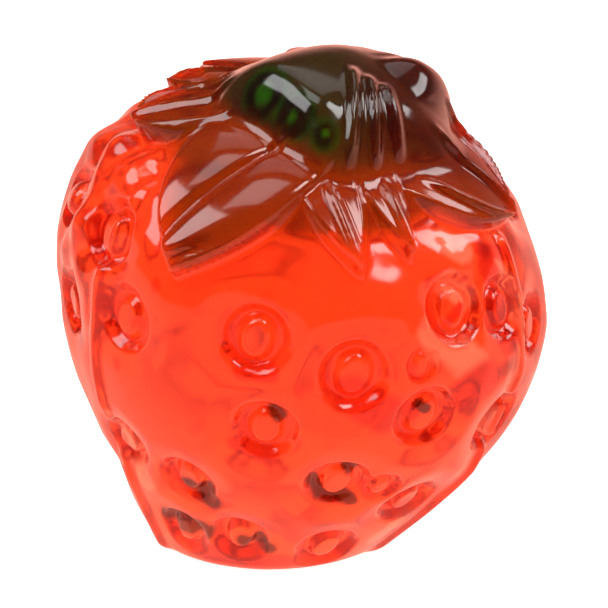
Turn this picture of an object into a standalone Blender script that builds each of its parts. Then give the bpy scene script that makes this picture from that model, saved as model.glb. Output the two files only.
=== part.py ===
"""A gummy strawberry that stands on a small flat foot.

Two gels are cast in one mould: a red berry with flat pockets, each with a crater that holds a
raised oval seed, and a green calyx of nine leaves round a knob, lying on the berry's shoulders.
Both are worked out as distances from the berry's middle, so one formula serves each form.
"""

import bmesh
import bpy
import numpy as np

MM = 0.001

# Driving dimensions of the berry
BODY_RADIUS = 12.42 * MM
MIDDLE = np.array([0.2053, -0.0458, 13.1]) * MM
LEAN_RIGHT, LEAN_FRONT = 12.4, 0.0
SHOULDER_SWELL, SHOULDER_AT, SHOULDER_SPAN = 0.05, 74.0, 23.5
LEFT_SWELL, LEFT_AT, LEFT_SPAN = 0.068, 63.0, 27.0
RIGHT_SWELL, RIGHT_AT, RIGHT_SPAN = 0.020, 62.0, 18.0
BACK_SINK, BACK_AZIMUTH, BACK_AT, BACK_SPAN = 0.022, -125.0, 40.0, 16.0
TIP_STRETCH, TIP_SPAN = 0.36, 27.5
CROWN_SINK, CROWN_SPAN = 0.13, 48.0
FOOT_ROUNDING = 0.6 * MM

# Pockets, craters and the seeds in them
CRATER_RADIUS, CRATER_DEPTH = 2.0 * MM, 0.6 * MM
SEED_RADIUS, SEED_HEIGHT = 1.3 * MM, 0.55 * MM
POCKET_RADIUS, POCKET_DEPTH, POCKET_ROUNDING = 3.1 * MM, 0.42 * MM, 0.12 * MM
POCKETS_BEGIN, POCKETS_WHOLE = 0.8 * MM, 4.5 * MM  # above the foot
CRATER_SPACING = 5.2 * MM
CRATER_SIZES = 0.88, 1.06
LEAST_SPACING = 3.9 * MM
FRONT_AZIMUTH = 74.0
SHOWN_CRATERS = (
    (-60, 74, 1.0), (-48, 90, 0.95), (-14, 82, 1.0), (11, 86, 1.05), (27, 82, 0.5),
    (37, 69, 1.0), (55, 71, 0.9), (71, 79, 0.9), (32, 96, 0.95), (61, 102, 0.95), (-7, 105, 0.95),
    (16, 119, 0.95), (29, 119, 0.6), (-28, 131, 0.85), (-52, 128, 0.8), (27, 145, 0.85), (-8, 146, 0.8),
    (45, 127, 0.9), (-74, 98, 0.9), (-84, 76, 0.9), (-33, 150, 0.7),
)  # azimuth from the front, angle from the stem, size

# Mould seams
SEAM_AZIMUTHS = 62.0, -57.0
SEAM_HEIGHT, SEAM_WIDTH = 0.28 * MM, 0.34 * MM

# Calyx: leaves on a map of the crown, with its arms along the surface
CALYX_LEAN_RIGHT, CALYX_LEAN_FRONT = 4.0, 14.0
FOLDED_LEAVES = (
    ((0.1, 0.0), (-7.7, 10.2), 4.1, 4.5, 1.15, (2.1, -1.7)),
    ((0.0, 0.0), (8.1, -5.9), 3.6, 3.0, 0.85, (0.4, -0.3)),
    ((0.0, 0.0), (-6.8, -8.0), 3.7, 3.5, 0.85, (-0.4, 0.5)),
)  # root, tip, half width, bluntness, thickness and places of the fold across, in mm
RIDGED_LEAVES = (
    ((-1.0, 3.5), (2.8, 10.9), 2.1, 3.0, 1.0, (-0.9, 0.0, 0.9)),
    ((1.8, 3.3), (5.7, 9.4), 1.7, 3.0, 0.95, (0.1,)),
    ((2.0, 1.5), (12.3, 1.8), 4.3, 5.0, 0.85, (-0.6, 0.12, 0.84)),
    ((0.0, 0.0), (1.7, -12.3), 4.0, 4.0, 1.1, (-0.72, -0.24, 0.24, 0.72)),
    ((-1.0, -0.5), (-8.4, -4.8), 2.3, 7.0, 0.95, (-0.5, 0.5)),
    ((-1.0, 0.0), (-9.8, -0.6), 2.9, 9.0, 1.0, (-0.66, 0.0, 0.66)),
)  # root, tip, half width, bluntness, thickness in mm, ridges as shares of the half width
LEAF_EDGE = 0.45 * MM
FOLD_WIDTH, FOLD_DEPTH, PILLOW_HEIGHT = 0.22 * MM, 0.25 * MM, 0.35 * MM
RIDGE_WIDTH, RIDGE_HEIGHT = 0.5 * MM, 0.42 * MM
DISC_RADIUS, DISC_FRONT, DISC_THICKNESS, DISC_EDGE = 8.6 * MM, 0.9 * MM, 0.8 * MM, 2.6 * MM
LEAF_GAP, LEAST_LEAF = 0.3 * MM, 0.2 * MM

# Knob in the middle of the calyx
KNOB_FACES = (
    ((-5.5, 1.0), (1.0, 0.0), 1.15), ((-2.8, 3.7), (0.66, -0.75), 0.85), ((0.3, 5.9), (0.1, -1.0), 0.8),
    ((4.5, 4.2), (-0.6, -0.8), 0.6), ((7.8, 0.0), (-1.0, 0.0), 0.6), ((3.0, -6.0), (-0.3, 0.95), 0.7),
    ((-3.0, -4.2), (0.6, 0.8), 0.75),
)  # a place on its foot, the way inwards, rise
KNOB_TOP, KNOB_TOP_SLOPE = 2.65, (-0.13, 0.03)
KNOB_ROUNDING = 0.9
LOBES = (
    (4.8, -2.4, 2.8, 0.6), (-3.1, 1.7, 1.15, 0.30), (-1.3, 3.0, 1.15, 0.30), (0.5, 4.3, 0.95, 0.25),
)  # right, front, radius and height in mm
FOLD_ENDS = (
    ((1.2, 0.6), (2.2, 6.0)), ((2.3, 0.2), (3.2, 5.9)), ((3.4, 0.0), (4.2, 5.3)),
)
FOLD_CREST, FOLD_RISE = 0.42 * MM, 0.40 * MM

# Fineness
CUBE_CUTS = 89
BERRY_TRIANGLES = 7800
CALYX_RINGS, CALYX_SPOKES = 56, 360
CALYX_TRIANGLES = 4800


def bump(value, middle, span):
    """A smooth hill, 1 high at the middle."""
    return np.exp(-(((value - middle) / span) ** 2))


def ramp(value, start, end):
    """0 before start and 1 after end, with a smooth rise between."""
    t = np.clip((value - start) / (end - start), 0.0, 1.0)
    return t * t * (3 - 2 * t)


def smooth_least(a, b, rounding):
    """The lesser of two distances, with the corner between them rounded."""
    near = np.maximum(rounding - np.abs(a - b), 0.0) / rounding
    return np.minimum(a, b) - near * near * rounding / 4


def leaning_frame(right_deg, front_deg):
    """The stem, front and right directions of a frame that leans to +X and to -Y."""
    stem = np.array([np.sin(np.radians(right_deg)), -np.sin(np.radians(front_deg)), 0.0])
    stem[2] = np.sqrt(1 - stem @ stem)
    front = np.array([0.0, -1.0, 0.0]) + stem * stem[1]
    front /= np.linalg.norm(front)
    return stem, front, np.cross(stem, front)


def angles(directions, frame):
    """Degrees from the stem, and round it from the front towards the right."""
    stem, front, right = frame
    polar = np.degrees(np.arccos(np.clip(directions @ stem, -1, 1)))
    return polar, np.degrees(np.arctan2(directions @ right, directions @ front))


def toward(azimuth, polar, frame):
    """The direction at these angles."""
    stem, front, right = frame
    azimuth, polar = np.radians(azimuth), np.radians(polar)
    side = np.cos(azimuth)[..., None] * front + np.sin(azimuth)[..., None] * right
    return np.cos(polar)[..., None] * stem + np.sin(polar)[..., None] * side


BODY = leaning_frame(LEAN_RIGHT, LEAN_FRONT)
CALYX = leaning_frame(CALYX_LEAN_RIGHT, CALYX_LEAN_FRONT)


def plain_radius(directions):
    """The berry with no relief: round, broad in the shoulders, drawn out to its tip."""
    polar, azimuth = angles(directions, BODY)
    left = -np.sin(np.radians(azimuth))
    swell = SHOULDER_SWELL * bump(polar, SHOULDER_AT, SHOULDER_SPAN)
    swell += LEFT_SWELL * bump(polar, LEFT_AT, LEFT_SPAN) * left
    swell += RIGHT_SWELL * bump(polar, RIGHT_AT, RIGHT_SPAN) * ramp(-left, -0.2, 1.0)
    behind = np.cos(np.radians(azimuth - BACK_AZIMUTH))
    swell -= BACK_SINK * bump(polar, BACK_AT, BACK_SPAN) * ramp(behind, -0.2, 1.0)
    swell += TIP_STRETCH * bump(polar, 180.0, TIP_SPAN)
    swell -= CROWN_SINK * bump(polar, 0.0, CROWN_SPAN)
    return BODY_RADIUS * (1 + swell)


def crown_map(directions):
    """Places on the crown, measured along the surface: right of the knob, and in front."""
    polar, azimuth = angles(directions, CALYX)
    reach = BODY_RADIUS * np.radians(polar)
    return reach * np.sin(np.radians(azimuth)), reach * np.cos(np.radians(azimuth))


def along_line(right, front, start, end):
    """(distance along a line on the map, distance across it, its length)."""
    start, end = np.array(start) * MM, np.array(end) * MM
    length = np.hypot(*(end - start))
    way = (end - start) / length
    right, front = right - start[0], front - start[1]
    return right * way[0] + front * way[1], right * way[1] - front * way[0], length


def leaf_relief(right, front, root, tip, half_width, bluntness, thickness):
    """Outline of one leaf: (inside, height, share of its length, across, local half width)."""
    along, across, length = along_line(right, front, root, tip)
    share = np.clip(along / length, 0.0, 1.0)
    width = half_width * MM * (1 - share**bluntness)
    beyond = np.hypot(np.where(along < 0, along, np.maximum(along - length, 0.0)), across)
    inside = np.where((along > 0) & (along < length), width - np.abs(across), -beyond)
    height = DISC_THICKNESS + (thickness * MM - DISC_THICKNESS) * ramp(share, 0.2, 0.5)
    return inside, height, share, across, np.maximum(width, 0.3 * MM)


def folded_leaf(right, front, leaf):
    """(inside, height) of a broad leaf: two soft pillows either side of a fold."""
    inside, height, share, across, width = leaf_relief(right, front, *leaf[:5])
    fold_start, fold_end = leaf[5]
    off_fold = across - (fold_start + (fold_end - fold_start) * share) * MM
    pillow = np.clip(1 - (2 * np.abs(off_fold) / width - 1) ** 2, 0.0, 1.0)
    form = PILLOW_HEIGHT * pillow - FOLD_DEPTH * bump(off_fold, 0.0, FOLD_WIDTH)
    height = height + form * ramp(share, 0.3, 0.5) * ramp(inside, 0.1 * MM, 0.8 * MM)
    return inside, height * ramp(inside, 0.0, LEAF_EDGE)


def ridged_leaf(right, front, leaf):
    """(inside, height) of a leaf with sharp ridges that run together at its tip."""
    inside, height, share, across, width = leaf_relief(right, front, *leaf[:5])
    for place in leaf[5]:
        off_crest = np.abs(across - place * width) / RIDGE_WIDTH
        crest = 1 - ramp(off_crest, -0.35, 1.0)
        height = height + RIDGE_HEIGHT * crest * ramp(share, 0.3, 0.5) * (1 - ramp(share, 0.9, 1.02))
    return inside, height * ramp(inside, 0.0, LEAF_EDGE)


def knob_relief(right, front):
    """The knob's height above the leaves."""
    height = (KNOB_TOP + (KNOB_TOP_SLOPE[0] * right + KNOB_TOP_SLOPE[1] * front) / MM) * np.ones_like(right)
    for (foot_right, foot_front), (way_right, way_front), rise in KNOB_FACES:
        inwards = (right / MM - foot_right) * way_right + (front / MM - foot_front) * way_front
        height = smooth_least(height, rise * inwards, KNOB_ROUNDING)
    height = -smooth_least(-height, 0.0 * height, 0.5)
    for lobe_right, lobe_front, radius, rise in LOBES:
        away = np.hypot(right / MM - lobe_right, front / MM - lobe_front)
        height = height + rise * (1 - ramp(away, 0.1 * radius, radius))
    height = height * MM
    for start, end in FOLD_ENDS:
        along, across, length = along_line(right, front, start, end)
        share = along / length
        crest = 1 - ramp(np.abs(across) / FOLD_CREST, -0.3, 1.0)
        height = height + FOLD_RISE * crest * ramp(share, 0.0, 0.2) * (1 - ramp(share, 0.8, 1.0))
    return height


def calyx_relief(right, front):
    """(how far inside the calyx's outline, height above the plain berry)."""
    inside = DISC_RADIUS - np.hypot(right, front - DISC_FRONT)
    height = DISC_THICKNESS * ramp(inside, 0.0, DISC_EDGE)
    leaves = [folded_leaf(right, front, leaf) for leaf in FOLDED_LEAVES]
    leaves += [ridged_leaf(right, front, leaf) for leaf in RIDGED_LEAVES]
    for leaf_inside, leaf_height in leaves:
        inside = np.maximum(inside, leaf_inside)
        height = np.maximum(height, leaf_height)
    return inside, height + knob_relief(right, front)


def crater_places():
    """(direction, size) of each crater: the ones that show, then the emptiest places behind."""
    draw = np.random.default_rng(7)
    shown = np.array(SHOWN_CRATERS)
    places = list(zip(toward(shown[:, 0], shown[:, 1], BODY), shown[:, 2]))
    turn = np.pi * (3 - np.sqrt(5))
    count = np.arange(3000)
    height = 1 - 2 * (count + 0.5) / len(count)
    flat = np.sqrt(1 - height**2)
    spots = np.stack([flat * np.cos(turn * count), flat * np.sin(turn * count), height], axis=-1)
    inside, _ = calyx_relief(*crown_map(spots))
    low = MIDDLE[2] + spots[:, 2] * plain_radius(spots)
    _, azimuth = angles(spots, BODY)
    free = (inside < -2.2 * MM) & (low > 2.3 * MM) & (np.abs(azimuth) > FRONT_AZIMUTH)
    spots = spots[free]
    while True:
        taken = np.array([place for place, _ in places])
        clear = BODY_RADIUS * np.arccos(np.clip(spots @ taken.T, -1, 1)).min(axis=1)
        room = clear.max()
        if room < LEAST_SPACING:
            return places
        size = draw.uniform(*CRATER_SIZES) * min(1.0, (room / CRATER_SPACING) ** 2)
        places.append((spots[clear.argmax()], size))


def crater_relief(directions, places, covered):
    """Flat pockets that meet in ridges, with a crater in each and an oval seed in the crater."""
    pockets, craters = np.zeros(len(directions)), np.zeros(len(directions))
    stem = BODY[0]
    for place, size in places:
        across_way = np.cross(place, stem)
        across_way /= np.linalg.norm(across_way)
        along_way = np.cross(place, across_way)
        near = np.nonzero(directions @ place > 0.93)[0]
        scale = float(plain_radius(place[None])[0])
        across, along = scale * directions[near] @ across_way, scale * directions[near] @ along_way
        away = np.hypot(across, along)
        oval = np.hypot(across / 0.86, along / 1.16)
        pocket, rim, seed = size * POCKET_RADIUS, size * CRATER_RADIUS, size * SEED_RADIUS
        bowl = size * POCKET_DEPTH * ((away / pocket) ** 2 - 1)
        dip = size * CRATER_DEPTH * (1 - ramp(away, 0.7 * rim, 1.03 * rim))
        rise = size * SEED_HEIGHT * (1 - ramp(oval, 0.55 * seed, seed))
        pockets[near] = smooth_least(pockets[near], bowl, POCKET_ROUNDING)
        craters[near] = np.minimum(craters[near], rise - dip)
    low = MIDDLE[2] + directions[:, 2] * plain_radius(directions)
    pockets *= ramp(low, POCKETS_BEGIN, POCKETS_WHOLE)
    return (pockets + craters) * ramp(-covered, 0.0, 1.2 * MM)


def seam_relief(directions, covered):
    """The two fine lines, fading out where the leaves cover them."""
    polar, azimuth = angles(directions, BODY)
    height = np.zeros(len(directions))
    for seam in SEAM_AZIMUTHS:
        turn = np.radians(azimuth - seam)
        away = BODY_RADIUS * np.sin(np.radians(polar)) * np.abs(np.sin(turn))
        line = SEAM_HEIGHT * bump(away, 0.0, SEAM_WIDTH) * ramp(np.cos(turn), 0.0, 0.3)
        height = np.maximum(height, line)
    return height * ramp(-covered, 0.0, 1.5 * MM)


def berry_radius(directions):
    """The berry's whole surface, cut level at its foot."""
    inside, _ = calyx_relief(*crown_map(directions))
    radius = plain_radius(directions) + crater_relief(directions, crater_places(), inside)
    radius += seam_relief(directions, inside)
    down = np.maximum(-directions[:, 2], 0.02)
    return smooth_least(radius, MIDDLE[2] / down, FOOT_ROUNDING)


def mesh_object(name, points, faces, triangles, finish):
    """A smooth shaded object that a Decimate modifier thins to the wanted triangles."""
    mesh = bpy.data.meshes.new(name)
    mesh.from_pydata(points.tolist(), [], faces)
    mesh.materials.append(finish)
    mesh.shade_smooth()
    made = bpy.data.objects.new(name, mesh)
    bpy.context.scene.collection.objects.link(made)
    full = sum(len(face) - 2 for face in faces)
    thin = made.modifiers.new("thin", "DECIMATE")
    thin.ratio = triangles / full
    thin.use_collapse_triangulate = True
    return made


def gel(name, colour):
    """Clear glossy gel."""
    finish = bpy.data.materials.new(name)
    finish.use_nodes = True
    shader = finish.node_tree.nodes["Principled BSDF"]
    shader.inputs["Base Color"].default_value = (*colour, 1.0)
    shader.inputs["Roughness"].default_value = 0.08
    shader.inputs["Metallic"].default_value = 0.0
    shader.inputs["Transmission Weight"].default_value = 0.6
    return finish


def make_berry():
    """A cube's grid blown up to a ball, with each point set at its distance from the middle."""
    work = bmesh.new()
    bmesh.ops.create_cube(work, size=2.0)
    bmesh.ops.subdivide_edges(work, edges=work.edges, cuts=CUBE_CUTS, use_grid_fill=True)
    cube = np.array([vertex.co[:] for vertex in work.verts])
    faces = [[vertex.index for vertex in face.verts] for face in work.faces]
    work.free()
    directions = np.tan(cube * np.pi / 4)
    directions /= np.linalg.norm(directions, axis=1, keepdims=True)
    points = MIDDLE + directions * berry_radius(directions)[:, None]
    return mesh_object("berry", points, faces, BERRY_TRIANGLES, gel("red_gel", (0.72, 0.03, 0.02)))


def calyx_reach(azimuths):
    """How far from the knob the calyx's outline lies, at each azimuth."""
    steps = np.linspace(0.0, 14.0 * MM, 1400)
    right = np.sin(np.radians(azimuths))[:, None] * steps
    front = np.cos(np.radians(azimuths))[:, None] * steps
    inside, _ = calyx_relief(right, front)
    return steps[(inside > LEAF_EDGE / 2).cumprod(axis=1).sum(axis=1) - 1]


def make_calyx():
    """A thin cap: rings from the knob's middle to the leaves' outline, above and below alike."""
    azimuths = np.linspace(-180.0, 180.0, CALYX_SPOKES, endpoint=False)
    shares = np.linspace(0.0, 1.0, CALYX_RINGS + 1) ** 0.85
    reach = shares[:, None] * calyx_reach(azimuths)
    azimuth = np.broadcast_to(azimuths, reach.shape)
    right, front = reach * np.sin(np.radians(azimuth)), reach * np.cos(np.radians(azimuth))
    _, height = calyx_relief(right, front)
    height = np.maximum(height, LEAF_GAP + LEAST_LEAF).reshape(-1)
    ways = toward(azimuth, np.degrees(reach / BODY_RADIUS), CALYX).reshape(-1, 3)
    top = MIDDLE + ways * (plain_radius(ways) + height)[:, None]
    low = MIDDLE + ways * (plain_radius(ways) + LEAF_GAP)[:, None]
    spokes = CALYX_SPOKES
    keep = np.r_[0, spokes:len(top)]
    points = np.concatenate([top[keep], low[keep]])
    under = len(keep)
    faces = []
    for spoke in range(spokes):
        following = (spoke + 1) % spokes
        faces.append([0, 1 + spoke, 1 + following])
        faces.append([under, under + 1 + following, under + 1 + spoke])
        for ring in range(CALYX_RINGS - 1):
            inner, outer = 1 + ring * spokes, 1 + (ring + 1) * spokes
            quad = [inner + spoke, outer + spoke, outer + following, inner + following]
            faces.append(quad)
            faces.append([under + corner for corner in reversed(quad)])
        rim = 1 + (CALYX_RINGS - 1) * spokes
        faces.append([rim + spoke, under + rim + spoke, under + rim + following, rim + following])
    return mesh_object("calyx", points, faces, CALYX_TRIANGLES, gel("green_gel", (0.10, 0.16, 0.02)))


for leftover in list(bpy.data.objects):
    bpy.data.objects.remove(leftover)
make_berry()
make_calyx()
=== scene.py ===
"""A gummy strawberry on a white lit sweep: clear red gel with a dark green crown cast into it."""

import bmesh
import bpy
import numpy as np
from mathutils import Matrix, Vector


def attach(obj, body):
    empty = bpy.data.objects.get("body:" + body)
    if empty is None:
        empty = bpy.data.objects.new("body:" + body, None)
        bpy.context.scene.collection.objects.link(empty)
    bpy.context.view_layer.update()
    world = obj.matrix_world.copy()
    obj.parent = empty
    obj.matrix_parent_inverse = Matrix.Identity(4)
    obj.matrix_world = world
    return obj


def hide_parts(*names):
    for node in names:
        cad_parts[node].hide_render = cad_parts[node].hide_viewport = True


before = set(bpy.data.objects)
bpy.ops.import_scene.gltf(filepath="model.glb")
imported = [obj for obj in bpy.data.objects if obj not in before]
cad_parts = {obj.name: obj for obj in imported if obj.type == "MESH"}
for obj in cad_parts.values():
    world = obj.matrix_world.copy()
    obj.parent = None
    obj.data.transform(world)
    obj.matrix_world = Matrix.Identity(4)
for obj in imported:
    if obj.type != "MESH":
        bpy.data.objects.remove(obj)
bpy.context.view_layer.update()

# Form of the whole sweet
# The mould gives a berry that is broad in the shoulders, leans to the right and stands on its
# cut tip. Every surface below is a distance from the berry's middle, in each direction.
MM = 0.001
BODY_RADIUS = 12.42 * MM
MIDDLE = np.array([0.2053, -0.0458, 13.1]) * MM
LEAN_RIGHT, LEAN_FRONT = 12.4, 0.0
# Each swell or sink: share of the radius, angle from the stem and span in degrees
SHOULDER_SWELL, SHOULDER_AT, SHOULDER_SPAN = 0.05, 74.0, 23.5
LEFT_SWELL, LEFT_AT, LEFT_SPAN = 0.068, 63.0, 27.0
RIGHT_SWELL, RIGHT_AT, RIGHT_SPAN = 0.020, 62.0, 18.0
BACK_SINK, BACK_AZIMUTH, BACK_AT, BACK_SPAN = 0.022, -125.0, 40.0, 16.0
TIP_STRETCH, TIP_AT, TIP_SPAN = 0.36, 180.0, 27.5
CROWN_SINK, CROWN_AT, CROWN_SPAN = 0.13, 0.0, 48.0
ONE_SIDED = -0.2, 1.0  # cosines between which a swell on one side grows to its height
FOOT_ROUNDING = 0.6 * MM
LEAST_FALL = 0.02


def bump(value, middle, span):
    """A smooth hill, 1 high at the middle."""
    return np.exp(-(((value - middle) / span) ** 2))


def ramp(value, start, end):
    """0 before start and 1 after end, with a smooth rise between."""
    t = np.clip((value - start) / (end - start), 0.0, 1.0)
    return t * t * (3 - 2 * t)


def smooth_least(a, b, rounding):
    """The lesser of two distances, with the corner between them rounded."""
    near = np.maximum(rounding - np.abs(a - b), 0.0) / rounding
    return np.minimum(a, b) - near * near * rounding / 4


def leaning_frame(right_deg, front_deg):
    """The stem, front and right directions of a frame that leans to +X and to -Y."""
    stem = np.array([np.sin(np.radians(right_deg)), -np.sin(np.radians(front_deg)), 0.0])
    stem[2] = np.sqrt(1 - stem @ stem)
    front = np.array([0.0, -1.0, 0.0]) + stem * stem[1]
    front /= np.linalg.norm(front)
    return stem, front, np.cross(stem, front)


def angles(directions, lean):
    """Degrees from the stem, and round it from the front towards the right."""
    stem, front, right = lean
    polar = np.degrees(np.arccos(np.clip(directions @ stem, -1, 1)))
    return polar, np.degrees(np.arctan2(directions @ right, directions @ front))


def toward(azimuth, polar, lean):
    """The direction at these angles."""
    stem, front, right = lean
    azimuth, polar = np.radians(azimuth), np.radians(polar)
    side = np.cos(azimuth)[..., None] * front + np.sin(azimuth)[..., None] * right
    return np.cos(polar)[..., None] * stem + np.sin(polar)[..., None] * side


BODY = leaning_frame(LEAN_RIGHT, LEAN_FRONT)


def plain_radius(directions):
    """The berry with no relief: round, broad in the shoulders, drawn out to its tip."""
    polar, azimuth = angles(directions, BODY)
    left = -np.sin(np.radians(azimuth))
    swell = SHOULDER_SWELL * bump(polar, SHOULDER_AT, SHOULDER_SPAN)
    swell += LEFT_SWELL * bump(polar, LEFT_AT, LEFT_SPAN) * left
    swell += RIGHT_SWELL * bump(polar, RIGHT_AT, RIGHT_SPAN) * ramp(-left, *ONE_SIDED)
    behind = np.cos(np.radians(azimuth - BACK_AZIMUTH))
    swell -= BACK_SINK * bump(polar, BACK_AT, BACK_SPAN) * ramp(behind, *ONE_SIDED)
    swell += TIP_STRETCH * bump(polar, TIP_AT, TIP_SPAN)
    swell -= CROWN_SINK * bump(polar, CROWN_AT, CROWN_SPAN)
    return BODY_RADIUS * (1 + swell)


def above_foot(directions):
    """Height of the plain berry's surface above the level foot."""
    return MIDDLE[2] + directions[:, 2] * plain_radius(directions)


def cut_level(directions, reach):
    """The distances to the surface, with the tip cut off level and its edge rounded."""
    to_foot = MIDDLE[2] / np.maximum(-directions[:, 2], LEAST_FALL)
    return smooth_least(reach, to_foot, FOOT_ROUNDING)


# Leaves of the crown
# Pointed and blunt leaves lie on the shoulders round the stem. They are green gel, about 1 mm
# thick, cast in the same mould: the broad ones are folded down the middle, the others ridged.
CALYX_LEAN_RIGHT, CALYX_LEAN_FRONT = 4.0, 14.0
CALYX = leaning_frame(CALYX_LEAN_RIGHT, CALYX_LEAN_FRONT)
FOLDED_LEAVES = (
    ((0.1, 0.0), (-7.7, 10.2), 4.1, 4.5, 1.15, (2.1, -1.7)),
    ((0.0, 0.0), (8.1, -5.9), 3.6, 3.0, 0.85, (0.4, -0.3)),
    ((0.0, 0.0), (-6.8, -8.0), 3.7, 3.5, 0.85, (-0.4, 0.5)),
)  # root, tip, half width, bluntness, thickness and places of the fold across, in mm
RIDGED_LEAVES = (
    ((-1.0, 3.5), (2.8, 10.9), 2.1, 3.0, 1.0, (-0.9, 0.0, 0.9)),
    ((1.8, 3.3), (5.7, 9.4), 1.7, 3.0, 0.95, (0.1,)),
    ((2.0, 1.5), (12.3, 1.8), 4.3, 5.0, 0.85, (-0.6, 0.12, 0.84)),
    ((0.0, 0.0), (1.7, -12.3), 4.0, 4.0, 1.1, (-0.72, -0.24, 0.24, 0.72)),
    ((-1.0, -0.5), (-8.4, -4.8), 2.3, 7.0, 0.95, (-0.5, 0.5)),
    ((-1.0, 0.0), (-9.8, -0.6), 2.9, 9.0, 1.0, (-0.66, 0.0, 0.66)),
)  # root, tip, half width, bluntness, thickness in mm, ridges as shares of the half width
LEAF_EDGE, LEAST_HALF_WIDTH = 0.6 * MM, 0.3 * MM
LEAF_THICKENS, FOLD_BEGINS = (0.2, 0.5), (0.25, 0.45)  # shares of a leaf's length
RIDGE_BEGINS, RIDGE_ENDS = (0.3, 0.5), (0.9, 1.02)  # shares of a leaf's length
FOLD_WIDTH, FOLD_DEPTH, FOLD_MARGIN = 0.20 * MM, 0.25 * MM, (0.1 * MM, 0.8 * MM)
PILLOW_HEIGHT = 0.25 * MM
RIDGE_WIDTH, RIDGE_HEIGHT, RIDGE_CREST = 0.5 * MM, 0.42 * MM, -0.35
DISC_RADIUS, DISC_FRONT, DISC_THICKNESS, DISC_EDGE = 8.6 * MM, 0.9 * MM, 0.8 * MM, 2.6 * MM
LEAF_COLOUR = (0.37, 0.054, 0.003, 1.0)
# Painted shade: the right leaves are tinted a darker brown than the rest.
RIGHT_SHADE_COLOUR = (0.15, 0.018, 0.010, 1.0)
LEAF_BORDER, RIGHT_BORDER = (-0.6 * MM, 0.9 * MM), (-0.3 * MM, 0.6 * MM)  # inside the outline
RIGHT_SIDE = 3.0 * MM, 6.0 * MM  # to the right of the stem
RIGHT_ENDS, RIGHT_SLANT, RIGHT_PIVOT = (3.0 * MM, 5.5 * MM), 0.4, 5.0 * MM
PALE_TIPS, PALE_TIPS_FRONT, PALE_TIPS_RIGHT = 0.75, (8.0 * MM, 10.8 * MM), (-1.5 * MM, 0.5 * MM)


def crown_map(directions):
    """Places on the crown, measured along the surface: right of the knob, and in front."""
    polar, azimuth = angles(directions, CALYX)
    reach = BODY_RADIUS * np.radians(polar)
    return reach * np.sin(np.radians(azimuth)), reach * np.cos(np.radians(azimuth))


def along_line(right, front, start, end):
    """(distance along a line on the map, distance across it, its length)."""
    start, end = np.array(start) * MM, np.array(end) * MM
    length = np.hypot(*(end - start))
    way = (end - start) / length
    right, front = right - start[0], front - start[1]
    return right * way[0] + front * way[1], right * way[1] - front * way[0], length


def leaf_relief(right, front, root, tip, half_width, bluntness, thickness):
    """Outline of one leaf: (inside, height, share of its length, across, local half width)."""
    along, across, length = along_line(right, front, root, tip)
    share = np.clip(along / length, 0.0, 1.0)
    width = half_width * MM * (1 - share**bluntness)
    beyond = np.hypot(np.where(along < 0, along, np.maximum(along - length, 0.0)), across)
    inside = np.where((along > 0) & (along < length), width - np.abs(across), -beyond)
    height = DISC_THICKNESS + (thickness * MM - DISC_THICKNESS) * ramp(share, *LEAF_THICKENS)
    return inside, height, share, across, np.maximum(width, LEAST_HALF_WIDTH)


def folded_leaf(right, front, leaf):
    """(inside, height) of a broad leaf: two soft pillows either side of a fold."""
    *outline, (fold_start, fold_end) = leaf
    inside, height, share, across, width = leaf_relief(right, front, *outline)
    off_fold = across - (fold_start + (fold_end - fold_start) * share) * MM
    pillow = np.clip(1 - (2 * np.abs(off_fold) / width - 1) ** 2, 0.0, 1.0)
    form = PILLOW_HEIGHT * pillow - FOLD_DEPTH * bump(off_fold, 0.0, FOLD_WIDTH)
    height = height + form * ramp(share, *FOLD_BEGINS) * ramp(inside, *FOLD_MARGIN)
    return inside, height * ramp(inside, 0.0, LEAF_EDGE)


def ridged_leaf(right, front, leaf):
    """(inside, height) of a leaf with sharp ridges that run together at its tip."""
    *outline, ridges = leaf
    inside, height, share, across, width = leaf_relief(right, front, *outline)
    length_share = ramp(share, *RIDGE_BEGINS) * (1 - ramp(share, *RIDGE_ENDS))
    for place in ridges:
        off_crest = np.abs(across - place * width) / RIDGE_WIDTH
        height = height + RIDGE_HEIGHT * (1 - ramp(off_crest, RIDGE_CREST, 1.0)) * length_share
    return inside, height * ramp(inside, 0.0, LEAF_EDGE)


def leaves_relief(right, front):
    """(inside, height) of all the leaves and of the disc that joins them under the knob."""
    inside = DISC_RADIUS - np.hypot(right, front - DISC_FRONT)
    height = DISC_THICKNESS * ramp(inside, 0.0, DISC_EDGE)
    leaves = [folded_leaf(right, front, leaf) for leaf in FOLDED_LEAVES]
    leaves += [ridged_leaf(right, front, leaf) for leaf in RIDGED_LEAVES]
    for leaf_inside, leaf_height in leaves:
        inside = np.maximum(inside, leaf_inside)
        height = np.maximum(height, leaf_height)
    return inside, height


def front_tips(right, front):
    """1 at the tips of the two front leaves, where the green gel runs thin."""
    return ramp(front, *PALE_TIPS_FRONT) * ramp(right, *PALE_TIPS_RIGHT)


def leaf_shares(right, front, covered):
    """Where the skin shows the leaves' brown, and the darker brown of painted shade on the right
    leaves.
    """
    slanted = front + RIGHT_SLANT * (right - RIGHT_PIVOT)
    right_side = ramp(right, *RIGHT_SIDE) * ramp(covered, *RIGHT_BORDER)
    return {
        "leaf": ramp(covered, *LEAF_BORDER) * (1 - PALE_TIPS * front_tips(right, front)),
        # The darker brown of the right leaves is painted shade.
        "right": right_side * (1 - ramp(slanted, *RIGHT_ENDS)),
    }


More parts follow.
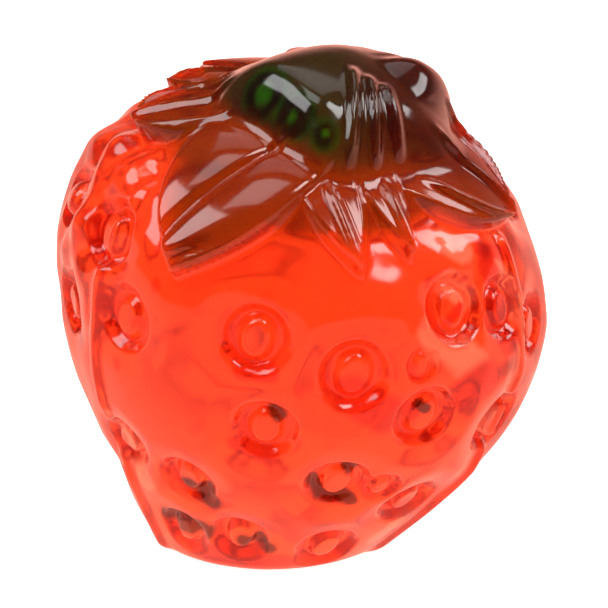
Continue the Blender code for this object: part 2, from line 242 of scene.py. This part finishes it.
# Knob of the crown
# The stump of the stem is a low knob of the same green gel, with flat sides and rounded
# corners. Small lobes stand on its left and a big one at its right, with thin folds between.
KNOB_FACES = (
    ((-5.5, 1.0), (1.0, 0.0), 1.15), ((-2.8, 3.7), (0.66, -0.75), 1.30),
    ((0.3, 5.9), (0.1, -1.0), 1.15), ((4.5, 4.2), (-0.6, -0.8), 0.8),
    ((7.8, 0.0), (-1.0, 0.0), 0.6), ((3.0, -6.0), (-0.3, 0.95), 0.7),
    ((-3.0, -4.2), (0.6, 0.8), 0.75),
)  # a place on its foot in mm, the way inwards, rise for each step inwards
KNOB_TOP, KNOB_TOP_SLOPE = 2.65, (-0.13, 0.03)
KNOB_ROUNDING, KNOB_FOOT_ROUNDING = 0.9, 0.5
LOBES = (
    (4.8, -2.4, 2.8, 0.6), (-2.9, 1.8, 1.15, 0.10), (-1.4, 3.2, 1.15, 0.10), (0.1, 4.2, 0.95, 0.08),
)  # right, front, radius and height in mm
LOBE_TOP = 0.1
FOLDS = (((1.2, -0.4), (1.4, 5.6)), ((1.8, 0.0), (2.9, 5.2)), ((2.5, 0.4), (4.2, 4.1)))
FOLD_CREST, FOLD_FLAT, FOLD_RISE = 0.50 * MM, -0.3, 0.50 * MM
FOLD_STARTS, FOLD_STOPS = (0.0, 0.2), (0.8, 1.0)
KNOB_COLOUR = (0.12, 0.080, 0.020, 1.0)
KNOB_RIGHT_COLOUR = (0.20, 0.025, 0.014, 1.0)
# Painted light in the knob's front: dark rings of painted shade, each round a bright green painted glow
# of light through a small lobe.
PAINTED_DARK_RING_COLOUR = (0.012, 0.010, 0.004, 1.0)
PAINTED_GREEN_GLOW_COLOUR = (0.06, 0.42, 0.010, 1.0)
KNOB_BORDER, KNOB_RIGHT_SIDE = (0.3 * MM, 1.1 * MM), (0.0, 3.5 * MM)
# Each painted green glow is a spot with a faint green circle round it, inside its painted dark ring.
PAINTED_GREEN_GLOWS = (
    (-2.7, 1.9, 0.55, 1.05), (-1.4, 3.3, 0.30, 0.95), (0.1, 4.2, 0.25, 0.60),
)  # right, front, size of the green spot and radius of the green circle round it in mm
SPOT_EDGE, CIRCLE_WIDTH, CIRCLE_STRENGTH = 0.5, 0.14, 0.35
RING_REACH, RING_STRENGTH = 1.25, 0.8


def knob_relief(right, front):
    """The knob's height above the leaves."""
    slope_right, slope_front = KNOB_TOP_SLOPE
    height = (KNOB_TOP + (slope_right * right + slope_front * front) / MM) * np.ones_like(right)
    for (foot_right, foot_front), (way_right, way_front), rise in KNOB_FACES:
        inwards = (right / MM - foot_right) * way_right + (front / MM - foot_front) * way_front
        height = smooth_least(height, rise * inwards, KNOB_ROUNDING)
    height = -smooth_least(-height, 0.0 * height, KNOB_FOOT_ROUNDING)
    for lobe_right, lobe_front, radius, rise in LOBES:
        away = np.hypot(right / MM - lobe_right, front / MM - lobe_front)
        height = height + rise * (1 - ramp(away, LOBE_TOP * radius, radius))
    height = height * MM
    for start, end in FOLDS:
        along, across, length = along_line(right, front, start, end)
        share = along / length
        crest = 1 - ramp(np.abs(across) / FOLD_CREST, FOLD_FLAT, 1.0)
        length_share = ramp(share, *FOLD_STARTS) * (1 - ramp(share, *FOLD_STOPS))
        height = height + FOLD_RISE * crest * length_share
    return height


def calyx_relief(right, front):
    """(how far inside the calyx's outline, height above the plain berry)."""
    inside, height = leaves_relief(right, front)
    return inside, height + knob_relief(right, front)


def knob_shares(right, front):
    """Where the skin shows the knob's green, its brown right side, and the painted dark rings and
    painted green glow of light through the lobes in its front.
    """
    on_knob = ramp(knob_relief(right, front), *KNOB_BORDER)
    green_glows, dark_rings = np.zeros(len(right)), np.zeros(len(right))
    for cell_right, cell_front, spot, circle in PAINTED_GREEN_GLOWS:
        away = np.hypot(right / MM - cell_right, front / MM - cell_front)
        green_glows = np.maximum(green_glows, 1 - ramp(away, SPOT_EDGE * spot, spot))
        green_glows = np.maximum(green_glows, CIRCLE_STRENGTH * bump(away, circle, CIRCLE_WIDTH))
        dark_rings = np.maximum(dark_rings, RING_STRENGTH * (1 - ramp(away, circle, RING_REACH * circle)))
    return {
        "knob": on_knob, "knob_right": ramp(right, *KNOB_RIGHT_SIDE) * on_knob,
        # The ring and green glow shares are painted dark rings and painted green glows in the knob's
        # front.
        "ring": dark_rings * on_knob, "painted_green_glow": green_glows * on_knob,
    }


# Craters and seeds
# The mould presses a flat pocket round each seed, with ridges where the pockets meet. A crater
# with a crisp rim lies in the pocket, and an oval seed stands in the crater.
CRATER_RADIUS, CRATER_DEPTH, CRATER_WALL = 2.0 * MM, 0.6 * MM, (0.7, 1.03)
SEED_RADIUS, SEED_HEIGHT, SEED_TOP = 1.3 * MM, 0.55 * MM, 0.55
SEED_ACROSS, SEED_ALONG = 0.86, 1.16
POCKET_RADIUS, POCKET_DEPTH, POCKET_ROUNDING = 3.1 * MM, 0.42 * MM, 0.12 * MM
POCKETS_BEGIN, POCKETS_WHOLE = 0.8 * MM, 4.5 * MM  # above the foot
CRATER_SPACING, LEAST_SPACING = 5.2 * MM, 3.9 * MM
CRATER_SIZES, CRATER_DRAW, SPOT_COUNT = (0.88, 1.06), 7, 3000
FRONT_AZIMUTH, LEAF_CLEARANCE, FOOT_CLEARANCE = 74.0, 2.2 * MM, 2.3 * MM
CRATERS_BARE = 1.2 * MM
NEAR_A_CRATER = 0.93  # cosine of the angle that a crater and its pocket reach over
SHOWN_CRATERS = (
    (-60, 74, 1.0), (-48, 90, 0.95), (-14, 82, 1.0), (11, 86, 1.05), (27, 82, 0.5),
    (37, 69, 1.0), (55, 71, 0.9), (71, 79, 0.9), (32, 96, 0.95), (61, 102, 0.95), (-7, 105, 0.95),
    (16, 119, 0.95), (29, 119, 0.6), (-28, 131, 0.85), (-52, 128, 0.8), (27, 145, 0.85), (-8, 146, 0.8),
    (45, 127, 0.9), (-74, 98, 0.9), (-84, 76, 0.9), (-33, 150, 0.7),
)  # azimuth from the front, angle from the stem, size
# Painted shade: each crater's moat is tinted deep red, most at its lower left.
MOAT_INSIDE, MOAT_OUTSIDE = (0.6, 1.05), (0.75, 1.05)  # shares of the seed's and the crater's radius
MOAT_ALL_ROUND, MOAT_LOWER_LEFT, MOAT_TURN = 0.45, 0.55, (0.0, 1.3)
LEAST_AWAY = 1e-6


def even_directions(count):
    """Directions spread evenly, along a spiral from the top of a ball to its bottom."""
    turn = np.pi * (3 - np.sqrt(5))
    number = np.arange(count)
    height = 1 - 2 * (number + 0.5) / count
    flat = np.sqrt(1 - height**2)
    return np.stack([flat * np.cos(turn * number), flat * np.sin(turn * number), height], axis=-1)


def crater_places():
    """(direction, size) of each crater: the ones that show, then the emptiest places behind."""
    draw = np.random.default_rng(CRATER_DRAW)
    shown = np.array(SHOWN_CRATERS)
    places = list(zip(toward(shown[:, 0], shown[:, 1], BODY), shown[:, 2]))
    spots = even_directions(SPOT_COUNT)
    inside, _ = calyx_relief(*crown_map(spots))
    _, azimuth = angles(spots, BODY)
    free = (inside < -LEAF_CLEARANCE) & (above_foot(spots) > FOOT_CLEARANCE)
    spots = spots[free & (np.abs(azimuth) > FRONT_AZIMUTH)]
    while True:
        taken = np.array([place for place, _ in places])
        clear = BODY_RADIUS * np.arccos(np.clip(spots @ taken.T, -1, 1)).min(axis=1)
        room = clear.max()
        if room < LEAST_SPACING:
            return places
        size = draw.uniform(*CRATER_SIZES) * min(1.0, (room / CRATER_SPACING) ** 2)
        places.append((spots[clear.argmax()], size))


def around_crater(directions, place, scale):
    """The directions near a crater, and how far each is across and along its seed."""
    across_way = np.cross(place, BODY[0])
    across_way /= np.linalg.norm(across_way)
    along_way = np.cross(place, across_way)
    near = np.nonzero(directions @ place > NEAR_A_CRATER)[0]
    return near, scale * directions[near] @ across_way, scale * directions[near] @ along_way


def crater_relief(directions, places, covered):
    """Flat pockets that meet in ridges, with a crater in each and an oval seed in the crater."""
    pockets, craters = np.zeros(len(directions)), np.zeros(len(directions))
    for place, size in places:
        scale = float(plain_radius(place[None])[0])
        near, across, along = around_crater(directions, place, scale)
        away = np.hypot(across, along)
        oval = np.hypot(across / SEED_ACROSS, along / SEED_ALONG)
        pocket, rim, seed = size * POCKET_RADIUS, size * CRATER_RADIUS, size * SEED_RADIUS
        bowl = size * POCKET_DEPTH * ((away / pocket) ** 2 - 1)
        dip = size * CRATER_DEPTH * (1 - ramp(away, CRATER_WALL[0] * rim, CRATER_WALL[1] * rim))
        rise = size * SEED_HEIGHT * (1 - ramp(oval, SEED_TOP * seed, seed))
        pockets[near] = smooth_least(pockets[near], bowl, POCKET_ROUNDING)
        craters[near] = np.minimum(craters[near], rise - dip)
    pockets *= ramp(above_foot(directions), POCKETS_BEGIN, POCKETS_WHOLE)
    return (pockets + craters) * ramp(-covered, 0.0, CRATERS_BARE)


def moat_shade_share(directions, places):
    """How far into a crater's moat each direction is, as a share of painted shade, most at the moat's
    lower left.
    """
    share = np.zeros(len(directions))
    for place, size in places:
        near, left, low = around_crater(directions, place, BODY_RADIUS)
        away = np.maximum(np.hypot(left, low), LEAST_AWAY)
        seed, rim = size * SEED_RADIUS, size * CRATER_RADIUS
        moat = ramp(away, MOAT_INSIDE[0] * seed, MOAT_INSIDE[1] * seed)
        moat *= 1 - ramp(away, MOAT_OUTSIDE[0] * rim, MOAT_OUTSIDE[1] * rim)
        moat *= MOAT_ALL_ROUND + MOAT_LOWER_LEFT * ramp((left + low) / away, *MOAT_TURN)
        share[near] = np.maximum(share[near], moat)
    return share


# Unevenness
# The gel sets with faint waves in it. Its shoulder is lumpy under the left leaves, and a
# little uneven beside the right one.
WAVE_COUNT, WAVE_LENGTHS, WAVE_HEIGHT = 40, (1.6 * MM, 4.0 * MM), 0.012 * MM
WAVE_DRAW, WAVES_BARE = 3, (-0.2 * MM, 0.6 * MM)
LUMPS = (
    (-76.0, 63.0, 5.5, 0.30), (36.0, 58.0, 4.5, 0.09),
)  # azimuth, angle from the stem, span and height in mm


def random_waves(places, lengths, draw_number):
    """Waves in every direction added up, about 0.7 high."""
    draw = np.random.default_rng(draw_number)
    waves = np.zeros(len(places))
    for _ in range(WAVE_COUNT):
        heading = draw.normal(size=3)
        heading *= 2 * np.pi / (np.linalg.norm(heading) * draw.uniform(*lengths))
        waves += np.sin(places @ heading + draw.uniform(0.0, 2 * np.pi))
    return waves / np.sqrt(WAVE_COUNT)


def uneven_relief(directions, covered):
    """Faint waves in every direction, stronger on the shoulders."""
    places = directions * BODY_RADIUS
    height = WAVE_HEIGHT
    for azimuth, polar, span, lump_height in LUMPS:
        away = np.linalg.norm(places - BODY_RADIUS * toward(azimuth, polar, BODY), axis=1)
        height = height + lump_height * MM * bump(away, 0.0, span * MM)
    return height * random_waves(places, WAVE_LENGTHS, WAVE_DRAW) * ramp(-covered, *WAVES_BARE)


# Mould seams
# Where the two halves of the mould met, a fine raised line of gel runs down each side.
SEAM_AZIMUTHS = 62.0, -57.0
SEAM_HEIGHT, SEAM_WIDTH = 0.28 * MM, 0.34 * MM
SEAM_SIDE, SEAM_BARE = (0.0, 0.3), (0.0, 1.5 * MM)


def seam_relief(directions, covered):
    """The two fine lines, fading out where the leaves cover them."""
    polar, azimuth = angles(directions, BODY)
    height = np.zeros(len(directions))
    for seam in SEAM_AZIMUTHS:
        turn = np.radians(azimuth - seam)
        away = BODY_RADIUS * np.sin(np.radians(polar)) * np.abs(np.sin(turn))
        line = SEAM_HEIGHT * bump(away, 0.0, SEAM_WIDTH) * ramp(np.cos(turn), *SEAM_SIDE)
        height = np.maximum(height, line)
    return height * ramp(-covered, *SEAM_BARE)


# Painted light in the clear gel
# The clear gel bends small images of what lies round it. They are painted into the skin's colour:
# painted highlights of the white walls, painted dark refractions of the crown, and painted deep
# red shade in the craters and on the left.
# Painted highlights: pale pink streaks of the white walls.
PAINTED_HIGHLIGHT_COLOUR = (1.0, 0.50, 0.42, 1.0)
PAINTED_HIGHLIGHT_STREAKS = (
    ((33, 51), (42, 55), 0.9), ((53, 60), (59, 68), 0.8), ((37, 79), (43, 84), 1.1),
    ((62, 71), (64, 89), 0.5), ((28, 74), (31, 78), 0.8), ((36, 63), (42, 67), 0.8),
    ((-55, 122), (-48, 138), 0.8), ((58, 82), (58, 106), 0.6), ((58, 106), (48, 142), 0.6),
)  # both ends as azimuth and angle from the stem, width in mm
# Painted deep red shade in the gel.
PAINTED_DEEP_SHADE_COLOUR = (0.66, 0.020, 0.007, 1.0)
PAINTED_DEEP_SHADE_STREAKS = (
    ((51, 60), (55, 67), 0.8), ((55, 67), (56, 79), 1.0), ((42, 89), (47, 87), 1.3),
    ((50, 56), (62, 59), 0.5), ((35, 72), (39, 69), 0.35), ((25, 94), (28, 95), 0.6),
    ((-15, 90), (-9, 89), 0.6), ((-13, 111), (-4, 113), 0.6), ((-19, 154), (11, 152), 0.9),
    ((11, 91), (21, 95), 1.2),
)
# Painted dark refractions: near-black streaks of the crown.
PAINTED_DARK_REFRACTION_COLOUR = (0.008, 0.002, 0.0015, 1.0)
PAINTED_DARK_REFRACTION_STREAKS = (
    ((-28, 134), (-20, 135), 0.75), ((-40, 148), (-24, 147), 0.80), ((-6, 147), (4, 147), 0.50),
    ((-6, 99), (-4, 101), 0.40), ((9, 120), (13, 125), 0.40), ((13, 125), (23, 125), 0.40),
    ((17, 113), (19, 114), 0.45), ((30, 93), (32, 94), 0.35), ((63, 78), (66, 82), 0.35),
)
STREAK_EDGE = 0.65, 1.15  # shares of a streak's width
PAINTED_HIGHLIGHT_STRENGTH, PAINTED_DARK_REFRACTION_STRENGTH = 0.95, 0.95
# Random specks of the deep red painted shade, more on the left.
SPECK_DRAW, SPECK_LENGTHS, SPECK_WAVES = 5, (1.0 * MM, 2.4 * MM), (0.9, 1.7)
SPECKS_ALL_ROUND, SPECKS_LEFT, LEFT_SIDE = 0.35, 0.55, (0.2, 0.8)
MARKS_BARE = 0.0, 1.0 * MM


def streak_share(directions, streaks):
    """1 along the middle of each streak and 0 beyond its width."""
    share = np.zeros(len(directions))
    for start, end, width in streaks:
        first, last = toward(*start, BODY), toward(*end, BODY)
        chord = last - first
        along = np.clip((directions - first) @ chord / (chord @ chord), 0.0, 1.0)
        away = BODY_RADIUS * np.linalg.norm(directions - first - along[:, None] * chord, axis=1)
        inner, outer = STREAK_EDGE[0] * width * MM, STREAK_EDGE[1] * width * MM
        share = np.maximum(share, 1 - ramp(away, inner, outer))
    return share


def mark_shares(directions, places, covered):
    """Where the bare gel takes its painted highlights, painted deep red shade and painted dark
    refractions.
    """
    bare = ramp(-covered, *MARKS_BARE)
    specks = ramp(random_waves(directions * BODY_RADIUS, SPECK_LENGTHS, SPECK_DRAW), *SPECK_WAVES)
    specks *= SPECKS_ALL_ROUND + SPECKS_LEFT * ramp(-directions[:, 0], *LEFT_SIDE)
    # Painted deep red shade: the craters' moats and the deep red streaks, with the specks.
    painted_deep_shade = np.maximum(moat_shade_share(directions, places), streak_share(directions, PAINTED_DEEP_SHADE_STREAKS))
    return {
        "painted_highlight": PAINTED_HIGHLIGHT_STRENGTH * streak_share(directions, PAINTED_HIGHLIGHT_STREAKS) * bare,
        "painted_deep_shade": np.maximum(painted_deep_shade, specks) * bare,
        "painted_dark_refraction": PAINTED_DARK_REFRACTION_STRENGTH * streak_share(directions, PAINTED_DARK_REFRACTION_STREAKS) * bare,
    }


# Outer skin of the sweet
# Both gels share one wet-looking skin, since they are cast onto each other with no gap. Its
# mesh is a fine cube grid blown up to a ball and pushed out to the sweet's surface.
SKIN_CUTS = 127
CROWN_BORDER = -0.1 * MM, 0.1 * MM
RED_GEL, RED_DENSITY = (0.98, 0.50, 0.20, 1.0), 80.0
BERRY_COLOUR = (0.96, 0.104, 0.024, 1.0)
HAZE_RADIUS, HAZE_DEPTH = (1.0, 0.3, 0.2), 5.0 * MM
TINTS = (
    ("painted_highlight", PAINTED_HIGHLIGHT_COLOUR), ("painted_deep_shade", PAINTED_DEEP_SHADE_COLOUR), ("painted_dark_refraction", PAINTED_DARK_REFRACTION_COLOUR), ("leaf", LEAF_COLOUR),
    ("right", RIGHT_SHADE_COLOUR), ("knob", KNOB_COLOUR), ("knob_right", KNOB_RIGHT_COLOUR),
    ("ring", PAINTED_DARK_RING_COLOUR), ("painted_green_glow", PAINTED_GREEN_GLOW_COLOUR),
)  # each laid over the ones before it
MIX_SHARE, MIX_FIRST, MIX_SECOND, MIX_RESULT = 0, 6, 7, 2  # a Mix node's sockets for colours


class Signal:
    """A value, colour or vector inside a shader; arithmetic on values adds Math nodes."""

    def __init__(self, finish, socket):
        self.finish, self.socket = finish, socket

    def __add__(self, other):
        return self.finish.node("ShaderNodeMath", {"operation": "ADD"}, {0: self, 1: other})

    def __rsub__(self, other):
        return self.finish.node("ShaderNodeMath", {"operation": "SUBTRACT"}, {0: other, 1: self})

    def __mul__(self, other):
        return self.finish.node("ShaderNodeMath", {"operation": "MULTIPLY"}, {0: self, 1: other})

    __radd__ = __add__
    __rmul__ = __mul__


class Finish:
    """The nodes of one material or of the surroundings, all made by one method."""

    def __init__(self, holder):
        holder.use_nodes = True
        self.holder, self.tree = holder, holder.node_tree
        self.tree.nodes.clear()

    def node(self, kind, settings, sockets, output=0):
        """A node of this kind: its settings first, then the values or links of its sockets."""
        made = self.tree.nodes.new(kind)
        for name, value in settings.items():
            setattr(made, name, value)
        for name, value in sockets.items():
            if isinstance(value, Signal):
                self.tree.links.new(value.socket, made.inputs[name])
            else:
                made.inputs[name].default_value = value
        return Signal(self, made.outputs[output]) if made.outputs else made

    def blend(self, first, second, share):
        """The first colour where share is 0 and the second where it is 1."""
        sockets = {MIX_SHARE: share, MIX_FIRST: first, MIX_SECOND: second}
        return self.node("ShaderNodeMix", {"data_type": "RGBA"}, sockets, MIX_RESULT)


def mesh_piece(name, points, faces, material):
    """A smooth shaded mesh in the scene."""
    mesh = bpy.data.meshes.new(name)
    mesh.from_pydata(points.tolist(), [], faces)
    mesh.materials.append(material)
    mesh.shade_smooth()
    piece = bpy.data.objects.new(name, mesh)
    bpy.context.scene.collection.objects.link(piece)
    return piece


def skin_grid():
    """Directions and faces of a cube's grid, spread evenly over a ball."""
    work = bmesh.new()
    bmesh.ops.create_cube(work, size=2.0)
    bmesh.ops.subdivide_edges(work, edges=work.edges, cuts=SKIN_CUTS, use_grid_fill=True)
    cube = np.array([vertex.co[:] for vertex in work.verts])
    faces = [[vertex.index for vertex in face.verts] for face in work.faces]
    work.free()
    directions = np.tan(cube * np.pi / 4)
    return directions / np.linalg.norm(directions, axis=1, keepdims=True), faces


def red_gel():
    """Clear gel that keeps red light and takes out green and blue over a few millimetres."""
    finish = Finish(bpy.data.materials.new("red_gel"))
    tint = BERRY_COLOUR
    for name, colour in TINTS:
        share = finish.node("ShaderNodeAttribute", {"attribute_name": name}, {}, "Fac")
        tint = finish.blend(tint, colour, share)
    surface = finish.node("ShaderNodeBsdfPrincipled", {}, {
        "Base Color": tint, "Roughness": 0.14, "IOR": 1.40, "Transmission Weight": 0.80,
        "Coat Weight": 1.0, "Coat Roughness": 0.08, "Coat IOR": 1.35,
        "Subsurface Weight": 1.0, "Subsurface Radius": HAZE_RADIUS, "Subsurface Scale": HAZE_DEPTH,
    })
    inside = finish.node("ShaderNodeVolumeAbsorption", {}, {"Color": RED_GEL, "Density": RED_DENSITY})
    finish.node("ShaderNodeOutputMaterial", {}, {"Surface": surface, "Volume": inside})
    return finish.holder


skin_ways, skin_faces = skin_grid()
skin_right, skin_front = crown_map(skin_ways)
covered, crown_height = calyx_relief(skin_right, skin_front)
placed_craters = crater_places()
skin_reach = plain_radius(skin_ways) + crown_height * ramp(covered, *CROWN_BORDER)
skin_reach += crater_relief(skin_ways, placed_craters, covered) + seam_relief(skin_ways, covered)
skin_reach += uneven_relief(skin_ways, covered)
skin_reach = cut_level(skin_ways, skin_reach)
skin = mesh_piece("berry_skin", MIDDLE + skin_ways * skin_reach[:, None], skin_faces, red_gel())
tint_shares = {
    **mark_shares(skin_ways, placed_craters, covered),
    **leaf_shares(skin_right, skin_front, covered),
    **knob_shares(skin_right, skin_front),
}
for name, _ in TINTS:
    attribute = skin.data.attributes.new(name, "FLOAT", "POINT")
    attribute.data.foreach_set("value", tint_shares[name])
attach(skin, "root")
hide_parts("berry")

# Green gel in the crown
# Dark green gel fills the leaves and the knob just under the shared skin. It thins out towards
# the leaves' edges, where its colour runs softly into the red.
GREEN_GEL, GREEN_DENSITY = (0.45, 0.72, 0.30, 1.0), 1000.0
GREEN_RINGS, GREEN_SPOKES, RING_CROWDING = 84, 420, 0.85
UNDER_SKIN, GREEN_SINK = 0.15 * MM, 0.5 * MM
FILLING_MARGIN, FILLING_WHOLE, TIP_THINNING = 0.6 * MM, 1.2 * MM, 0.8
LEAST_FILLING = 0.002 * MM
OUTLINE_REACH, OUTLINE_STEPS = 14.0 * MM, 1400


def calyx_reach(azimuths):
    """How far from the knob the filling's outline lies, at each azimuth."""
    steps = np.linspace(0.0, OUTLINE_REACH, OUTLINE_STEPS)
    right = np.sin(np.radians(azimuths))[:, None] * steps
    front = np.cos(np.radians(azimuths))[:, None] * steps
    inside, _ = calyx_relief(right, front)
    return steps[(inside > FILLING_MARGIN).cumprod(axis=1).sum(axis=1) - 1]


def green_gel():
    """Gel with no surface of its own, that takes out red and blue light."""
    finish = Finish(bpy.data.materials.new("green_gel"))
    surface = finish.node("ShaderNodeBsdfTransparent", {}, {"Color": (1.0, 1.0, 1.0, 1.0)})
    inside = finish.node("ShaderNodeVolumeAbsorption", {}, {
        "Color": GREEN_GEL, "Density": GREEN_DENSITY,
    })
    finish.node("ShaderNodeOutputMaterial", {}, {"Surface": surface, "Volume": inside})
    return finish.holder


def filling_points():
    """Rings of points from the knob to the outline: those above, then those below."""
    azimuths = np.linspace(-180.0, 180.0, GREEN_SPOKES, endpoint=False)
    shares = np.linspace(0.0, 1.0, GREEN_RINGS + 1) ** RING_CROWDING
    reach = shares[:, None] * calyx_reach(azimuths)
    azimuth = np.broadcast_to(azimuths, reach.shape)
    right, front = reach * np.sin(np.radians(azimuth)), reach * np.cos(np.radians(azimuth))
    inside, height = calyx_relief(right, front)
    ways = toward(azimuth, np.degrees(reach / BODY_RADIUS), CALYX).reshape(-1, 3)
    fill = ramp(inside, FILLING_MARGIN, FILLING_WHOLE) * (1 - TIP_THINNING * front_tips(right, front))
    high = height - UNDER_SKIN
    low = high - fill * (high + GREEN_SINK) - LEAST_FILLING
    plain = plain_radius(ways)
    keep = np.r_[0, GREEN_SPOKES:len(ways)]
    sides = [MIDDLE + ways * (plain + side.reshape(-1))[:, None] for side in (high, low)]
    return np.concatenate([side[keep] for side in sides])


def filling_faces():
    """A fan round the middle and quads between the rings, above and below, and the rim."""
    spokes = GREEN_SPOKES
    under = 1 + GREEN_RINGS * spokes
    rim = under - spokes
    faces = []
    for spoke in range(spokes):
        following = (spoke + 1) % spokes
        faces.append([0, 1 + spoke, 1 + following])
        faces.append([under, under + 1 + following, under + 1 + spoke])
        for ring in range(GREEN_RINGS - 1):
            inner, outer = 1 + ring * spokes, 1 + (ring + 1) * spokes
            quad = [inner + spoke, outer + spoke, outer + following, inner + following]
            faces.append(quad)
            faces.append([under + corner for corner in reversed(quad)])
        faces.append([rim + spoke, under + rim + spoke, under + rim + following, rim + following])
    return faces


filling = mesh_piece("calyx_gel", filling_points(), filling_faces(), green_gel())
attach(filling, "root")
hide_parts("calyx")

# Sweep
# A wide sheet of white acrylic, lit from below so that almost no shadow is left on it. To mirrored
# rays the whole sheet shows a painted red glow instead, so the wet gel mirrors it red.
FLOOR_HALF, FLOOR_DROP = 1.5, 0.02 * MM
FLOOR_GLOW, FLOOR_REFLECTED = 0.95, 1.1
# Painted reflection: the red glow that the whole sheet shows to mirrored rays.
FLOOR_MIRRORED_PAINTED_RED = (1.0, 0.42, 0.33, 1.0)


def white_sweep():
    """Matt white that also glows, with a painted red glow in its place for mirrored rays."""
    finish = Finish(bpy.data.materials.new("white_sweep"))
    mirrored = finish.node("ShaderNodeLightPath", {}, {}, "Is Reflection Ray")
    lit = finish.node("ShaderNodeBsdfPrincipled", {}, {
        "Base Color": (0.85, 0.85, 0.85, 1.0), "Roughness": 0.9, "Specular IOR Level": 0.0,
        "Emission Color": (1.0, 1.0, 1.0, 1.0), "Emission Strength": FLOOR_GLOW,
    })
    # Painted red reflection, seen only by mirrored rays.
    painted_red_reflection = finish.node("ShaderNodeEmission", {}, {"Color": FLOOR_MIRRORED_PAINTED_RED, "Strength": FLOOR_REFLECTED})
    surface = finish.node("ShaderNodeMixShader", {}, {0: mirrored, 1: lit, 2: painted_red_reflection})
    finish.node("ShaderNodeOutputMaterial", {}, {"Surface": surface})
    return finish.holder


floor_corners = FLOOR_HALF * np.array([[-1, -1, 0], [1, -1, 0], [1, 1, 0], [-1, 1, 0]])
floor = mesh_piece("floor", floor_corners - [0, 0, FLOOR_DROP], [[0, 1, 2, 3]], white_sweep())

# Camera
# A long lens looks down at the sweet by 22 degrees. The frame is 31.2 mm wide at the sweet.
AIM = Vector((0.105, 0.0, 12.45)) * MM
CAMERA_TILT, CAMERA_DISTANCE, FRAME_WIDTH = 22.0, 0.6, 31.2 * MM
SENSOR_WIDTH = 36.0
camera_tilt = np.radians(CAMERA_TILT)
camera = bpy.data.objects.new("camera", bpy.data.cameras.new("camera"))
camera.data.sensor_width = SENSOR_WIDTH
camera.data.lens = SENSOR_WIDTH * CAMERA_DISTANCE / FRAME_WIDTH
camera.data.clip_start, camera.data.clip_end = 0.05, 10.0
back = Vector((0.0, -np.cos(camera_tilt), np.sin(camera_tilt)))
camera.location = AIM + back * CAMERA_DISTANCE
camera.rotation_mode = "QUATERNION"
camera.rotation_quaternion = back.to_track_quat("Z", "Y")
bpy.context.scene.collection.objects.link(camera)
bpy.context.scene.camera = camera

# Soft boxes
# Square cloth boxes on stands light the sweet from above. They show as pale patches on the
# leaves, on the knob's flat sides and in the craters.
SOFT_BOXES = (
    ("soft_box_left", (-0.58, -0.28, 0.77), 0.30, 1.4),
    ("soft_box_right", (0.546, -0.177, 0.819), 0.19, 0.9),
    ("soft_box_back", (0.77, 0.28, 0.574), 0.16, 0.4),
    ("soft_box_top", (0.10, 0.50, 0.86), 0.30, 0.18),
    ("soft_box_over", (-0.06, -0.12, 0.99), 0.20, 0.30),
)  # name, direction, width in metres, watts
BOX_DISTANCE = 0.5
for name, box_way, width, watts in SOFT_BOXES:
    lamp = bpy.data.lights.new(name, "AREA")
    lamp.shape, lamp.size, lamp.energy = "SQUARE", width, watts
    box = bpy.data.objects.new(name, lamp)
    box.location = AIM + Vector(box_way).normalized() * BOX_DISTANCE
    box.rotation_mode = "QUATERNION"
    box.rotation_quaternion = Vector(box_way).to_track_quat("Z", "Y")
    bpy.context.scene.collection.objects.link(box)

# Studio walls
# White walls all round light the sweet, a little darker behind the camera. The wet gel mirrors
# only a red glow low behind it, so that its leaves and upper side stay clear of haze.
WALL_WHITE, CAMERA_SIDE, BACKDROP = 2.2, 1.0, 1.5
CAMERA_SIDE_SPREAD = -0.1, 0.95
MIRRORED_LOW, MIRRORED_HIGH = 1.3, 0.02
MIRRORED_WAY, MIRRORED_SPREAD = (0.25, 0.75, -0.9), (0.2, 0.9)
MIRRORED_COLOUR = (1.0, 0.40, 0.32, 1.0)
WHITE = (1.0, 1.0, 1.0, 1.0)


def facing(walls, wall_way, way, spread):
    """0 to 1 as the walls' direction turns towards a way."""
    sockets = {0: wall_way, 1: way}
    cosine = walls.node("ShaderNodeVectorMath", {"operation": "DOT_PRODUCT"}, sockets, "Value")
    start, end = spread
    return walls.node("ShaderNodeMapRange", {"interpolation_type": "SMOOTHSTEP"}, {
        "Value": cosine, "From Min": start, "From Max": end,
    })


studio = bpy.data.worlds.new("studio")
bpy.context.scene.world = studio
walls = Finish(studio)
wall_way = walls.node("ShaderNodeTexCoord", {}, {}, "Generated")
by_camera = facing(walls, wall_way, back, CAMERA_SIDE_SPREAD)
low_behind = facing(walls, wall_way, MIRRORED_WAY, MIRRORED_SPREAD)
seen = walls.node("ShaderNodeLightPath", {}, {}, "Is Camera Ray")
mirrored = walls.node("ShaderNodeLightPath", {}, {}, "Is Reflection Ray")
lighting = WALL_WHITE - (WALL_WHITE - CAMERA_SIDE) * by_camera
mirroring = MIRRORED_HIGH + (MIRRORED_LOW - MIRRORED_HIGH) * low_behind
brightness = lighting * (1 - mirrored) + mirroring * mirrored
brightness = brightness * (1 - seen) + BACKDROP * seen
colour = walls.blend(WHITE, MIRRORED_COLOUR, mirrored)
glow = walls.node("ShaderNodeBackground", {}, {"Color": colour, "Strength": brightness})
walls.node("ShaderNodeOutputWorld", {}, {"Surface": glow})

bpy.context.scene.view_settings.view_transform = "Standard"
